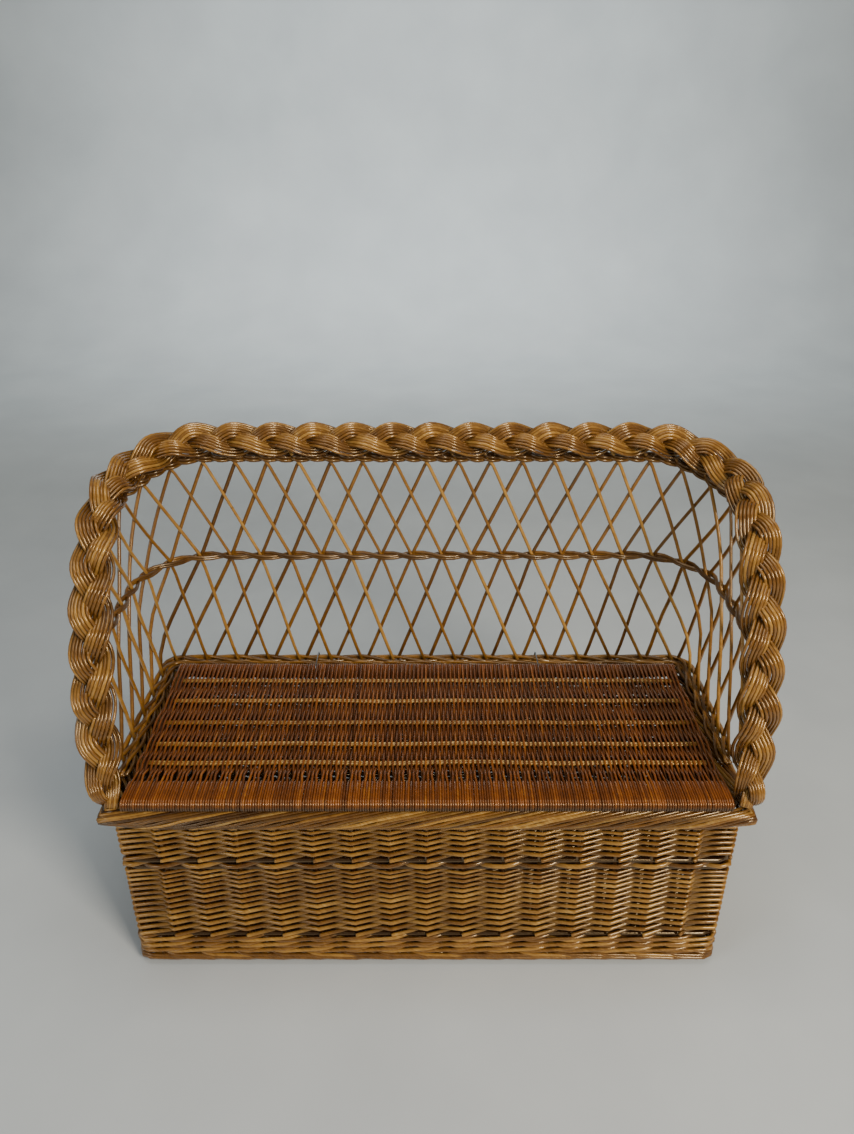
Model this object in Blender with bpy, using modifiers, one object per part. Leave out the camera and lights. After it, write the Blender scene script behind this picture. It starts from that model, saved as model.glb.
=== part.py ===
"""Woven willow storage bench: chest, hinged seat lid, lattice back and plaited rim.

Metres, +Z up, +X along the bench, the front faces -Y. The origin is the bottom centre of the
whole bench. The seat lid turns about the centre of its back rail.
"""

import math

import bmesh
import bpy
from mathutils import Vector

OBJECT_NAME = "wicker_storage_bench"
GAP = 0.0003  # clearance between pieces that touch

# chest walls, outer faces of the weave
WALL_HALF_X = 0.480
WALL_FRONT_Y = -0.197
WALL_BACK_Y = 0.182
WALL_THICK = 0.019
STAKE_PITCH = 0.060
RIB_HEIGHT = 0.0015

# heights of the woven bands, bottom to top
BANDS = (
    ("foot_border", 0.010, 0.024, 0.0030, 0.0),
    ("foot_waling", 0.024, 0.063, 0.0020, 0.0),
    ("lower_weave", 0.063, 0.216, 0.0, RIB_HEIGHT),
    ("middle_waling", 0.216, 0.232, 0.0020, 0.0),
    ("upper_weave", 0.232, 0.310, 0.0, RIB_HEIGHT),
)

# rolled border on top of the chest walls
BORDER_HALF_X = 0.4925
BORDER_FRONT_Y = -0.2148
BORDER_BACK_Y = 0.200
BORDER_WIDTH = 0.050
BORDER_BOTTOM_Z = 0.310
BORDER_TOP_Z = 0.350
BORDER_ROUND = 0.010

# corner posts, base rails and base board
POST_SIZE = 0.018
POST_TOP_Z = BORDER_BOTTOM_Z - GAP
RAIL_HEIGHT = 0.014
RAIL_THICK = 0.012
RAIL_BOTTOM_Z = 0.012
BOARD_THICK = 0.005

# seat lid
LID_HALF_X = 0.452
PIVOT_Y = 0.143
PIVOT_Z = 0.3608
FRONT_RAIL_Y = -0.2045
RAIL_RADIUS = 0.0075
WRAP_RADIUS = 0.0102
SEAT_UNDER_Z = 0.3635
BAR_HALF_WIDTH = 0.0045
BAR_HEIGHT = 0.0055
BAR_YS = (-0.118, -0.073, -0.018, 0.042, 0.1015)
END_RAIL_RADIUS = 0.0055
END_RAIL_INSET = 0.010

# hinge loops
LOOP_X = 0.203
LOOP_WIRE = 0.0012
LOOP_RADIUS = 0.0107
LOOP_BACK_Y = 0.186
LOOP_BACK_Z = 0.3575
LOOP_STEPS = 7
SLOT_HALF_X = 0.0025
SLOT_DEPTH = 0.0055

# lattice wall: two layers of slanting rods with a foot band, a middle band and a top band
LATTICE_HALF_X = 0.483
LATTICE_BACK_Y = 0.1825
LATTICE_FOOT_Z = BORDER_TOP_Z + 0.0008
LATTICE_START_Z = 0.364
LATTICE_MIDDLE_Z = 0.5765
LATTICE_ROUND_Z = 0.560
FOOT_CORNER = 0.030
TOP_CORNER = 0.120
PITCHES = ((LATTICE_START_Z, 0.0580), (LATTICE_MIDDLE_Z, 0.0527), (0.7465, 0.0531))
SHIFT = 1.5  # pitches that a rod leans over between two bands
PAIR_OFFSET = 0.004
LAYER_OFFSET = 0.0042
ROD_HALF = 0.0024
ROD_TUCK = 0.005  # how far a rod's ends are sunk in the bands
BAND_THICK = 0.0068
MIDDLE_BAND_HEIGHT = 0.012
TOP_BAND_HEIGHT = 0.010
TOP_BAND_DROP = 0.0365
TOP_BAND_END_Y = 0.042
FOOT_INNER_WIDTH = 0.0235
FOOT_OUTER_WIDTH = 0.0085
MOST_NODE = 19
LAYERS = (("outer", 1), ("inner", -1))
SECTIONS = ("left", "left_corner", "back", "right_corner", "right")
SECTION_X = 0.3575  # the flat back section ends here and a corner section begins
SECTION_Y = TOP_BAND_END_Y  # a corner section ends here and a flat side section begins
CORNER_STEPS = 6
ROD_SAMPLES = 480  # in one share of a rod

# plaited rim: the side profile, foot first, as (y, z) of its centre line
RIM_HALF_X = 0.4875
RIM_BACK_Z = 0.789
RIM_PROFILE = (
    (-0.1960, 0.3550),
    (-0.1935, 0.3830),
    (-0.1660, 0.4300),
    (-0.1450, 0.5070),
    (-0.1000, 0.6160),
    (-0.0410, 0.7000),
    (0.0080, 0.7370),
    (0.0625, 0.7570),
)
RIM_CLEARANCE = 0.022
STRAND_COUNT = 3
STRAND_PERIOD = 0.195
STRAND_SWING = 0.0205
STRAND_LIFT = 0.0138
STRAND_HALF_WIDTH = 0.0120
STRAND_HALF_THICK = 0.0048
STRAND_STEPS = 15  # sections in one period
PLAIT_LEAN = 40.0  # degrees that the plait turns its face forward along the back
LEAN_START_Y = -0.050
LEAN_RUN = 0.150
RIM_TAPER = 0.090
RIM_TAPER_TO = 0.45


def clear_scene():
    for old in list(bpy.data.objects):
        bpy.data.objects.remove(old)


def make_material(name, colour, roughness, metallic=0.0):
    made = bpy.data.materials.new(name)
    made.use_nodes = True
    shader = made.node_tree.nodes["Principled BSDF"]
    shader.inputs["Base Color"].default_value = (*colour, 1.0)
    shader.inputs["Roughness"].default_value = roughness
    shader.inputs["Metallic"].default_value = metallic
    return made


def make_object(name, shape, finish, collection):
    """An object from a bmesh, its faces turned outward."""
    bmesh.ops.recalc_face_normals(shape, faces=shape.faces)
    mesh = bpy.data.meshes.new(name)
    shape.to_mesh(mesh)
    shape.free()
    made = bpy.data.objects.new(name, mesh)
    if finish:
        mesh.materials.append(finish)
    collection.objects.link(made)
    return made


def add_box(shape, low, high):
    """Adds a closed box between two corners."""
    size = [b - a for a, b in zip(low, high)]
    middle = [(a + b) / 2 for a, b in zip(low, high)]
    made = bmesh.ops.create_cube(shape, size=1.0)["verts"]
    bmesh.ops.scale(shape, vec=size, verts=made)
    bmesh.ops.translate(shape, vec=middle, verts=made)


def make_box(name, low, high, finish, collection):
    shape = bmesh.new()
    add_box(shape, low, high)
    return make_object(name, shape, finish, collection)


def add_sweep(shape, rings):
    """Adds a closed tube through rings of points, with a cap at each end."""
    rows = [[shape.verts.new(point) for point in ring] for ring in rings]
    count = len(rows[0])
    for near, far in zip(rows, rows[1:]):
        for i in range(count):
            j = (i + 1) % count
            shape.faces.new((near[i], near[j], far[j], far[i]))
    shape.faces.new(rows[0][::-1])
    shape.faces.new(rows[-1])


def make_frame(name, outer, inner, low_z, high_z, finish, collection):
    """A closed frame between two outlines with the same number of points."""
    shape = bmesh.new()
    corners = []
    for outline in (outer, inner):
        for z in (low_z, high_z):
            corners.append([shape.verts.new((x, y, z)) for x, y in outline])
    outer_low, outer_high, inner_low, inner_high = corners
    count = len(outer)
    for i in range(count):
        j = (i + 1) % count
        shape.faces.new((outer_low[i], outer_low[j], outer_high[j], outer_high[i]))
        shape.faces.new((inner_low[j], inner_low[i], inner_high[i], inner_high[j]))
        shape.faces.new((outer_high[i], outer_high[j], inner_high[j], inner_high[i]))
        shape.faces.new((inner_low[i], inner_low[j], outer_low[j], outer_low[i]))
    return make_object(name, shape, finish, collection)


def add_bevel(target, width, segments=1):
    made = target.modifiers.new("bevel", "BEVEL")
    made.width = width
    made.segments = segments
    made.limit_method = "ANGLE"


def add_boolean(target, other, operation):
    made = target.modifiers.new(operation.lower(), "BOOLEAN")
    made.operation = operation
    made.solver = "EXACT"
    if isinstance(other, bpy.types.Collection):
        made.operand_type = "COLLECTION"
        made.collection = other
    else:
        made.object = other


# chest


def edge_points(start, end, ribs, bulge):
    """Points along one wall from start towards end, raised by a rib at each stake."""
    steps = 2 * ribs
    run = Vector(end) - Vector(start)
    normal = Vector((run.y, -run.x)).normalized()
    points = []
    for i in range(steps):
        lift = bulge if i % 2 and 0 < i < steps else 0.0
        points.append(tuple(Vector(start) + run * (i / steps) + normal * lift))
    return points


def wall_outline(inset, bulge):
    """The chest outline, anticlockwise, moved inward by inset."""
    x = WALL_HALF_X - inset
    front = WALL_FRONT_Y + inset
    back = WALL_BACK_Y - inset
    corners = ((-x, front), (x, front), (x, back), (-x, back))
    long_ribs = round(2 * WALL_HALF_X / STAKE_PITCH)
    short_ribs = round((WALL_BACK_Y - WALL_FRONT_Y) / STAKE_PITCH)
    points = []
    for i, ribs in enumerate((long_ribs, short_ribs, long_ribs, short_ribs)):
        count = ribs if bulge else 1
        points += edge_points(corners[i], corners[(i + 1) % 4], count, bulge)
    return points


def build_chest(finish, wood, collection):
    """Woven bands, corner posts, base rails, base board and the rolled border."""
    for name, low, high, proud, rib in BANDS:
        outer = wall_outline(-proud, rib)
        inner = wall_outline(WALL_THICK, -rib)
        make_frame(name, outer, inner, low + GAP, high, finish, collection)

    inner_x = WALL_HALF_X - WALL_THICK - RIB_HEIGHT - GAP
    front = WALL_FRONT_Y + WALL_THICK + RIB_HEIGHT + GAP
    back = WALL_BACK_Y - WALL_THICK - RIB_HEIGHT - GAP
    for side, sign in (("left", -1), ("right", 1)):
        for end, y in (("front", front), ("back", back - POST_SIZE)):
            xs = sorted((sign * inner_x, sign * (inner_x - POST_SIZE)))
            low = (xs[0], y, 0.0)
            high = (xs[1], y + POST_SIZE, POST_TOP_Z)
            make_box(f"corner_post_{end}_{side}", low, high, wood, collection)

    rail_x = inner_x - POST_SIZE - GAP
    rail_top = RAIL_BOTTOM_Z + RAIL_HEIGHT
    for end, y in (("front", front), ("back", back - RAIL_THICK)):
        low = (-rail_x, y, RAIL_BOTTOM_Z)
        high = (rail_x, y + RAIL_THICK, rail_top)
        make_box(f"base_rail_{end}", low, high, wood, collection)
    for side, sign in (("left", -1), ("right", 1)):
        xs = sorted((sign * inner_x, sign * (inner_x - RAIL_THICK)))
        low = (xs[0], front + POST_SIZE + GAP, RAIL_BOTTOM_Z)
        high = (xs[1], back - POST_SIZE - GAP, rail_top)
        make_box(f"base_rail_{side}", low, high, wood, collection)
    build_base_board(inner_x, front, back, rail_top + GAP, wood, collection)
    return build_border(finish, collection)


def build_base_board(half_x, front, back, low_z, finish, collection):
    """The board that closes the bottom, notched round the four corner posts."""
    notch = POST_SIZE + GAP
    outline = (
        (-half_x + notch, front),
        (half_x - notch, front),
        (half_x - notch, front + notch),
        (half_x, front + notch),
        (half_x, back - notch),
        (half_x - notch, back - notch),
        (half_x - notch, back),
        (-half_x + notch, back),
        (-half_x + notch, back - notch),
        (-half_x, back - notch),
        (-half_x, front + notch),
        (-half_x + notch, front + notch),
    )
    shape = bmesh.new()
    rings = [[(x, y, z) for x, y in outline] for z in (low_z, low_z + BOARD_THICK)]
    add_sweep(shape, rings)
    make_object("base_board", shape, finish, collection)


def build_border(finish, collection):
    """The rolled border, with its long edges rounded and two slots for the hinge loops."""
    outlines = []
    for inset in (0.0, BORDER_WIDTH):
        x = BORDER_HALF_X - inset
        front = BORDER_FRONT_Y + inset
        back = BORDER_BACK_Y - inset
        outlines.append(((-x, front), (x, front), (x, back), (-x, back)))
    border = make_frame(
        "top_border", *outlines, BORDER_BOTTOM_Z + GAP, BORDER_TOP_Z, finish, collection
    )
    add_bevel(border, BORDER_ROUND, 2)
    return border


# hinge


def loop_points(x):
    """The centre line of one hinge loop, round the lid's back rail and the lattice's foot."""
    points = []
    for i in range(LOOP_STEPS):
        angle = math.pi / 2 + math.pi * i / (LOOP_STEPS - 1)
        y = PIVOT_Y + LOOP_RADIUS * math.cos(angle)
        points.append((x, y, PIVOT_Z + LOOP_RADIUS * math.sin(angle)))
    for i in range(LOOP_STEPS):
        angle = -math.pi / 2 + math.pi * i / (LOOP_STEPS - 1)
        y = LOOP_BACK_Y + LOOP_RADIUS * math.cos(angle)
        points.append((x, y, LOOP_BACK_Z + LOOP_RADIUS * math.sin(angle)))
    return points


def build_hinges(border, seat, steel, collection, cutters):
    """Two wire loops, each with a slot in the border and a notch in the seat's back wrap."""
    for side, x in (("left", -LOOP_X), ("right", LOOP_X)):
        curve = bpy.data.curves.new(f"hinge_loop_{side}", "CURVE")
        curve.dimensions = "3D"
        curve.bevel_depth = LOOP_WIRE
        curve.bevel_resolution = 1
        points = loop_points(x)
        spline = curve.splines.new("POLY")
        spline.points.add(len(points) - 1)
        for target, point in zip(spline.points, points):
            target.co = (*point, 1.0)
        spline.use_cyclic_u = True
        curve.materials.append(steel)
        collection.objects.link(bpy.data.objects.new(curve.name, curve))

        slot_low = (x - SLOT_HALF_X, PIVOT_Y - WRAP_RADIUS, BORDER_TOP_Z - SLOT_DEPTH)
        slot_high = (x + SLOT_HALF_X, BORDER_BACK_Y + WRAP_RADIUS, BORDER_TOP_Z + WRAP_RADIUS)
        slot = make_cutter(f"slot_{side}", slot_low, slot_high, cutters)
        add_boolean(border, slot, "DIFFERENCE")
        reach = LOOP_RADIUS + 2 * LOOP_WIRE
        notch_low = (x - 2 * SLOT_HALF_X, PIVOT_Y - reach, PIVOT_Z - 2 * reach)
        notch_high = (x + 2 * SLOT_HALF_X, PIVOT_Y + 2 * reach, PIVOT_Z + 2 * reach)
        notch = make_cutter(f"notch_{side}", notch_low, notch_high, cutters)
        add_boolean(seat, notch, "DIFFERENCE")


def make_cutter(name, low, high, cutters):
    made = make_box(name, low, high, None, cutters)
    made.hide_render = True
    made.display_type = "WIRE"
    return made


# seat lid


def arc_points(y, radius, start, end, steps):
    """Points on a circle about a rail's axis, angles in degrees from +Y towards +Z."""
    points = []
    for i in range(steps + 1):
        angle = math.radians(start + (end - start) * i / steps)
        points.append((y + radius * math.cos(angle), PIVOT_Z + radius * math.sin(angle)))
    return points


def seat_profile():
    """The outline in YZ of the woven seat with its ends wrapped round both rails."""
    bore = RAIL_RADIUS + GAP
    under = math.degrees(math.asin((SEAT_UNDER_Z - PIVOT_Z) / bore))
    profile = arc_points(FRONT_RAIL_Y, WRAP_RADIUS, 90, 325, 10)
    profile += arc_points(FRONT_RAIL_Y, bore, 325, under, 12)
    profile += arc_points(PIVOT_Y, bore, 180 - under, -145, 12)
    profile += arc_points(PIVOT_Y, WRAP_RADIUS, -145, 90, 10)
    return profile


def rest_on_pivot(piece, pivot):
    """Moves a piece's origin to the hinge axis and hangs it on the lid's empty."""
    offset = pivot.location
    for vertex in piece.data.vertices:
        vertex.co -= offset
    piece.parent = pivot


def build_lid(finish, rail_finish, collection):
    """Rails, cross bars and the woven seat, all carried by an empty on the hinge axis."""
    pivot = bpy.data.objects.new("lid_pivot", None)
    pivot.location = (0.0, PIVOT_Y, PIVOT_Z)
    collection.objects.link(pivot)
    pieces = []

    shape = bmesh.new()
    rings = [[(x, y, z) for y, z in seat_profile()] for x in (-LID_HALF_X, LID_HALF_X)]
    add_sweep(shape, rings)
    seat = make_object("seat_weave", shape, finish, collection)
    pieces.append(seat)

    for end, y in (("front", FRONT_RAIL_Y), ("back", PIVOT_Y)):
        shape = bmesh.new()
        ring = arc_points(y, RAIL_RADIUS, 15, 375, 12)[:-1]
        add_sweep(shape, [[(x, v, z) for v, z in ring] for x in (-LID_HALF_X, LID_HALF_X)])
        pieces.append(make_object(f"lid_{end}_rail", shape, rail_finish, collection))

    bar_top = SEAT_UNDER_Z - GAP
    bar_x = LID_HALF_X - END_RAIL_INSET - END_RAIL_RADIUS - GAP
    for i, y in enumerate(BAR_YS):
        low = (-bar_x, y - BAR_HALF_WIDTH, bar_top - BAR_HEIGHT)
        high = (bar_x, y + BAR_HALF_WIDTH, bar_top)
        bar = make_box(f"lid_cross_bar_{i + 1}", low, high, rail_finish, collection)
        pieces.append(bar)

    for side, sign in (("left", -1), ("right", 1)):
        x = sign * (LID_HALF_X - END_RAIL_INSET)
        shape = bmesh.new()
        rings = []
        for y in (FRONT_RAIL_Y + WRAP_RADIUS + GAP, PIVOT_Y - WRAP_RADIUS - GAP):
            ring = []
            for i in range(8):
                angle = math.pi * (2 * i + 1) / 8
                z = bar_top + END_RAIL_RADIUS * (math.sin(angle) - 1)
                ring.append((x + END_RAIL_RADIUS * math.cos(angle), y, z))
            rings.append(ring)
        add_sweep(shape, rings)
        pieces.append(make_object(f"lid_end_rail_{side}", shape, rail_finish, collection))

    for piece in pieces:
        rest_on_pivot(piece, pivot)
    return seat


# lattice wall


def blend(pairs, at):
    """Straight-line value between (position, value) pairs, held flat past the ends."""
    if at <= pairs[0][0]:
        return pairs[0][1]
    for (a, low), (b, high) in zip(pairs, pairs[1:]):
        if at <= b:
            return low + (high - low) * (at - a) / (b - a)
    return pairs[-1][1]


def smooth(share):
    share = min(max(share, 0.0), 1.0)
    return share * share * (3 - 2 * share)


def corner_radius(z):
    """The plan corner of the wall: nearly square on the border, round higher up."""
    share = smooth((z - LATTICE_START_Z) / (LATTICE_ROUND_Z - LATTICE_START_Z))
    return FOOT_CORNER + (TOP_CORNER - FOOT_CORNER) * share


def plan(arc, half_x, radius):
    """Point and outward direction at an arc length from the middle of the back."""
    sign = -1 if arc < 0 else 1
    left = abs(arc) - (half_x - radius)
    turn = radius * math.pi / 2
    if left <= 0:
        return Vector((arc, LATTICE_BACK_Y, 0.0)), Vector((0.0, 1.0, 0.0))
    if left <= turn:
        angle = left / radius
        out = Vector((sign * math.sin(angle), math.cos(angle), 0.0))
        centre = Vector((sign * (half_x - radius), LATTICE_BACK_Y - radius, 0.0))
        return centre + out * radius, out
    y = LATTICE_BACK_Y - radius - (left - turn)
    return Vector((sign * half_x, y, 0.0)), Vector((float(sign), 0.0, 0.0))


def on_wall(arc, z, offset):
    """A point of the lattice wall, moved outward by offset."""
    point, out = plan(arc, LATTICE_HALF_X, corner_radius(z))
    return Vector((point.x, point.y, z)) + out * offset


def rim_y(z):
    return blend([(v, y) for y, v in RIM_PROFILE], z)


def rim_z(y):
    """Height of the rim's centre line above a point of the plan."""
    start = RIM_PROFILE[-1]
    if y <= start[0]:
        return blend(RIM_PROFILE, y)
    rise = min((y - start[0]) / TOP_CORNER, 1.0)
    return start[1] + (RIM_BACK_Z - start[1]) * rise**2


def behind_rim(point):
    """Whether a point of the side wall keeps clear of the rim."""
    if point.y <= rim_y(point.z) or point.z >= rim_z(point.y):
        return False
    for (y1, z1), (y2, z2) in zip(RIM_PROFILE, RIM_PROFILE[1:]):
        run = Vector((y2 - y1, z2 - z1))
        away = Vector((point.y - y1, point.z - z1))
        share = min(max(away.dot(run) / run.length_squared, 0.0), 1.0)
        if (away - run * share).length < RIM_CLEARANCE:
            return False
    return True


def top_band_z(arc):
    """Height of the top band, which follows the rim at a fixed drop as far as its ends."""
    y = max(on_wall(arc, RIM_BACK_Z, 0.0).y, TOP_BAND_END_Y)
    return rim_z(y) - TOP_BAND_DROP


def rod_point(node, lean, share, offset):
    """Centre of a slanting rod: share 0 is the foot, 1 the middle band, 2 the top band."""
    end_z = top_band_z((node + 2 * SHIFT * lean) * PITCHES[-1][1]) + ROD_TUCK / 2
    heights = ((0.0, LATTICE_START_Z - ROD_TUCK), (1.0, LATTICE_MIDDLE_Z), (2.0, end_z))
    z = blend(heights, share)
    pitch = blend(PITCHES, z)
    spread = PAIR_OFFSET * lean * (1 - min(share * 2, 1.0))
    arc = (node + SHIFT * lean * share) * pitch + spread
    return on_wall(arc, z, offset)


def rod_shares(node, lean, offset, top_limit):
    """First and last share of a rod behind the rim, or None if it misses every band."""
    samples = 120
    kept = []
    for i in range(samples + 1):
        share = 2 * i / samples
        if behind_rim(rod_point(node, lean, share, offset)):
            kept.append(share)
        elif kept:
            break
    if len(kept) < samples // 12:
        return None
    first, last = kept[0], kept[-1]
    top_arc = (node + 2 * SHIFT * lean) * PITCHES[-1][1]
    in_top = last == 2 and abs(top_arc) < top_limit
    return (first, last) if first == 0 or first <= 1 <= last or in_top else None


def add_rod(shape, node, lean, offset, first, last):
    """A four-sided rod along the wall."""
    ends = [rod_point(node, lean, share, offset) for share in (first, last)]
    flat = all(abs(end.x) < LATTICE_HALF_X - TOP_CORNER for end in ends)
    steps = 4 if flat else max(2, math.ceil((last - first) * 5))
    points = []
    for i in range(steps + 1):
        points.append(rod_point(node, lean, first + (last - first) * i / steps, offset))
    rings = []
    for i, point in enumerate(points):
        ahead = points[min(i + 1, steps)] - points[max(i - 1, 0)]
        out = outward(point)
        side = ahead.cross(out).normalized() * ROD_HALF
        depth = side.cross(ahead).normalized() * ROD_HALF
        rings.append([point + side + depth, point - side + depth, point - side - depth])
        rings[-1].append(point + side - depth)
    add_sweep(shape, rings)


def outward(point):
    """The wall's outward direction at a point, from its rounded plan."""
    radius = corner_radius(point.z)
    inner_x = LATTICE_HALF_X - radius
    away_x = max(abs(point.x) - inner_x, 0.0)
    away_y = max(point.y - (LATTICE_BACK_Y - radius), 0.0)
    if away_x == 0.0:
        return Vector((0.0, 1.0, 0.0))
    return Vector((math.copysign(away_x, point.x), away_y, 0.0)).normalized()


def add_band(shape, arcs, height_of, half_height, inner, outer):
    """A flat band along the wall between two arc lengths and two offsets."""
    first, last = arcs
    radius = corner_radius(height_of(0.0))
    stops = {first, last}
    for i in range(CORNER_STEPS + 1):
        arc = LATTICE_HALF_X - radius + radius * math.pi / 2 * i / CORNER_STEPS
        stops |= {a for a in (-arc, arc) if first < a < last}
    rings = []
    for arc in sorted(stops):
        z = height_of(arc)
        near = on_wall(arc, z, inner)
        far = on_wall(arc, z, outer)
        lift = Vector((0.0, 0.0, half_height))
        rings.append([near - lift, far - lift, far + lift, near + lift])
    add_sweep(shape, rings)


def arc_at_side(y, z):
    """Arc length at which the right side wall reaches a depth y."""
    radius = corner_radius(z)
    return LATTICE_HALF_X - radius + radius * math.pi / 2 + (LATTICE_BACK_Y - radius - y)


def section_of(point):
    """Name of the section of the wall that a point belongs to."""
    if abs(point.x) < SECTION_X:
        return "back"
    side = "left" if point.x < 0 else "right"
    return side if point.y < SECTION_Y else f"{side}_corner"


def rod_runs(node, lean, offset, span, top_limit):
    """The parts of a rod in each section, as [section, first share, last share]."""
    first, last = span
    steps = round((last - first) * ROD_SAMPLES)
    runs = []
    for i in range(steps + 1):
        share = first + (last - first) * i / steps
        section = section_of(rod_point(node, lean, share, offset))
        if runs and runs[-1][0] == section:
            runs[-1][2] = share
        else:
            runs.append([section, share, share])
    in_top = abs((node + 2 * SHIFT * lean) * PITCHES[-1][1]) < top_limit
    for run in list(runs):
        held = run[1] == 0 or run[1] <= 1 <= run[2] or (run[2] == 2 and in_top)
        if not held and len(runs) > 1:
            place = runs.index(run)
            near = runs[place - 1] if place else runs[1]
            near[1:] = min(near[1], run[1]), max(near[2], run[2])
            runs.remove(run)
    return runs


def band_arcs(section, z, limit):
    """Arc lengths that a band covers in one section, out to the rim on a side wall."""
    turn = arc_at_side(SECTION_Y, z)
    if section == "back":
        return -SECTION_X + GAP, SECTION_X - GAP
    arcs = (SECTION_X, turn - GAP) if section.endswith("corner") else (turn, limit)
    return arcs if section.startswith("right") else (-arcs[1], -arcs[0])


def build_lattice(finish, collection, cutters):
    """Two layers of slanting rods, each in five sections, with the bands they are worked into."""
    foot_mid_z = (LATTICE_FOOT_Z + LATTICE_START_Z) / 2
    foot_half = (LATTICE_START_Z - LATTICE_FOOT_Z) / 2
    foot_limit = arc_at_side(rim_y(LATTICE_START_Z) + RIM_CLEARANCE, foot_mid_z)
    middle_limit = arc_at_side(rim_y(LATTICE_MIDDLE_Z) + RIM_CLEARANCE, LATTICE_MIDDLE_Z)
    top_limit = arc_at_side(TOP_BAND_END_Y, RIM_BACK_Z)
    for layer, lean in LAYERS:
        offset = LAYER_OFFSET * lean
        near = (LAYER_OFFSET - BAND_THICK / 2) * lean
        far = (LAYER_OFFSET + BAND_THICK / 2) * lean
        foot_far = (FOOT_OUTER_WIDTH if lean > 0 else FOOT_INNER_WIDTH) * lean
        rods = {}
        for section in SECTIONS:
            rods[section] = bpy.data.collections.new(f"rods_{layer}_{section}")
            cutters.children.link(rods[section])
        for node in range(-MOST_NODE, MOST_NODE + 1):
            span = rod_shares(node, lean, offset, top_limit)
            for section, first, last in rod_runs(node, lean, offset, span, top_limit) if span else ():
                shape = bmesh.new()
                add_rod(shape, node, lean, offset, first, last)
                rod = make_object(f"rod_{layer}_{section}_{node}", shape, None, rods[section])
                rod.hide_render = True
                rod.display_type = "WIRE"
        for section in SECTIONS:
            bands = [
                (foot_mid_z, foot_limit, lambda arc: foot_mid_z, foot_half, foot_far),
                (LATTICE_MIDDLE_Z, middle_limit, lambda arc: LATTICE_MIDDLE_Z,
                 MIDDLE_BAND_HEIGHT / 2, far),
                (RIM_BACK_Z, top_limit, top_band_z, TOP_BAND_HEIGHT / 2, far),
            ]
            shape = bmesh.new()
            for z, limit, height_of, half, outer in bands:
                first, last = band_arcs(section, z, limit)
                if last - first > BAND_THICK:
                    add_band(shape, (first, last), height_of, half, near, outer)
            panel = make_object(f"lattice_{layer}_{section}", shape, finish, collection)
            add_boolean(panel, rods[section], "UNION")


# plaited rim


def rim_line():
    """Dense centre line of the rim from the left foot over the back to the right foot."""
    half = []
    flat = RIM_HALF_X - TOP_CORNER
    for i in range(24):
        half.append(Vector((flat * i / 24, LATTICE_BACK_Y, RIM_BACK_Z)))
    for i in range(24):
        angle = math.pi / 2 * i / 24
        x = flat + TOP_CORNER * math.sin(angle)
        y = LATTICE_BACK_Y - TOP_CORNER + TOP_CORNER * math.cos(angle)
        half.append(Vector((x, y, rim_z(y))))
    knots = [Vector((RIM_HALF_X, y, z)) for y, z in reversed(RIM_PROFILE)]
    ends = [half[-1], *knots, knots[-1] * 2 - knots[-2]]
    for a, b, c, d in zip(ends, ends[1:], ends[2:], ends[3:]):
        for i in range(12):
            t = i / 12
            bend = 2 * b + (c - a) * t + (2 * a - 5 * b + 4 * c - d) * t**2
            half.append((bend + (3 * b - a - 3 * c + d) * t**3) / 2)
    half.append(knots[-1])
    mirrored = [Vector((-p.x, p.y, p.z)) for p in reversed(half[1:])]
    return mirrored + half


def measured(line):
    """Running length at each point of a line."""
    lengths = [0.0]
    for a, b in zip(line, line[1:]):
        lengths.append(lengths[-1] + (b - a).length)
    return lengths


def along(line, lengths, at):
    """Point of the rim at a running length, and the plait's width and face directions."""
    i = 0
    while i < len(line) - 2 and lengths[i + 1] < at:
        i += 1
    share = (at - lengths[i]) / (lengths[i + 1] - lengths[i])
    point = line[i].lerp(line[i + 1], share)
    before = line[max(i - 2, 0)]
    after = line[min(i + 3, len(line) - 1)]
    ahead = (after - before).normalized()
    out = outward_of_rim(point)
    up = ahead.cross(out).normalized()
    lean = math.radians(PLAIT_LEAN) * smooth((point.y - LEAN_START_Y) / LEAN_RUN)
    wide = out * math.cos(lean) + up * math.sin(lean)
    return point, wide, up * math.cos(lean) - out * math.sin(lean)


def outward_of_rim(point):
    inner_x = RIM_HALF_X - TOP_CORNER
    away_x = max(abs(point.x) - inner_x, 0.0)
    away_y = max(point.y - (LATTICE_BACK_Y - TOP_CORNER), 0.0)
    if away_x == 0.0:
        return Vector((0.0, 1.0, 0.0))
    return Vector((math.copysign(away_x, point.x), away_y, 0.0)).normalized()


def strand_section(line, lengths, at, phase):
    """Centre of a strand and the rim's vectors there."""
    point, out, up = along(line, lengths, at)
    ends = min(at, lengths[-1] - at)
    taper = RIM_TAPER_TO + (1 - RIM_TAPER_TO) * smooth(ends / RIM_TAPER)
    turn = 2 * math.pi * at / STRAND_PERIOD + phase
    centre = point + out * (STRAND_SWING * taper * math.sin(turn))
    return centre + up * (STRAND_LIFT * math.sin(2 * turn)), up, taper


def build_rim(finish, collection):
    """Three strands plaited over one another along the whole rim."""
    line = rim_line()
    lengths = measured(line)
    steps = round(lengths[-1] / STRAND_PERIOD * STRAND_STEPS)
    for strand in range(STRAND_COUNT):
        phase = 2 * math.pi * strand / STRAND_COUNT
        shape = bmesh.new()
        sections = []
        for i in range(steps + 1):
            at = lengths[-1] * i / steps
            sections.append(strand_section(line, lengths, at, phase))
        rings = []
        for i, (centre, up, taper) in enumerate(sections):
            ahead = sections[min(i + 1, steps)][0] - sections[max(i - 1, 0)][0]
            side = ahead.cross(up).normalized()
            lift = side.cross(ahead).normalized()
            ring = []
            for turn in range(6):
                angle = math.pi / 3 * turn
                wide = side * (STRAND_HALF_WIDTH * math.cos(angle))
                thick = lift * (STRAND_HALF_THICK * math.sin(angle))
                ring.append(centre + (wide + thick) * taper)
            rings.append(ring)
        add_sweep(shape, rings)
        make_object(f"plait_strand_{strand + 1}", shape, finish, collection)


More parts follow.
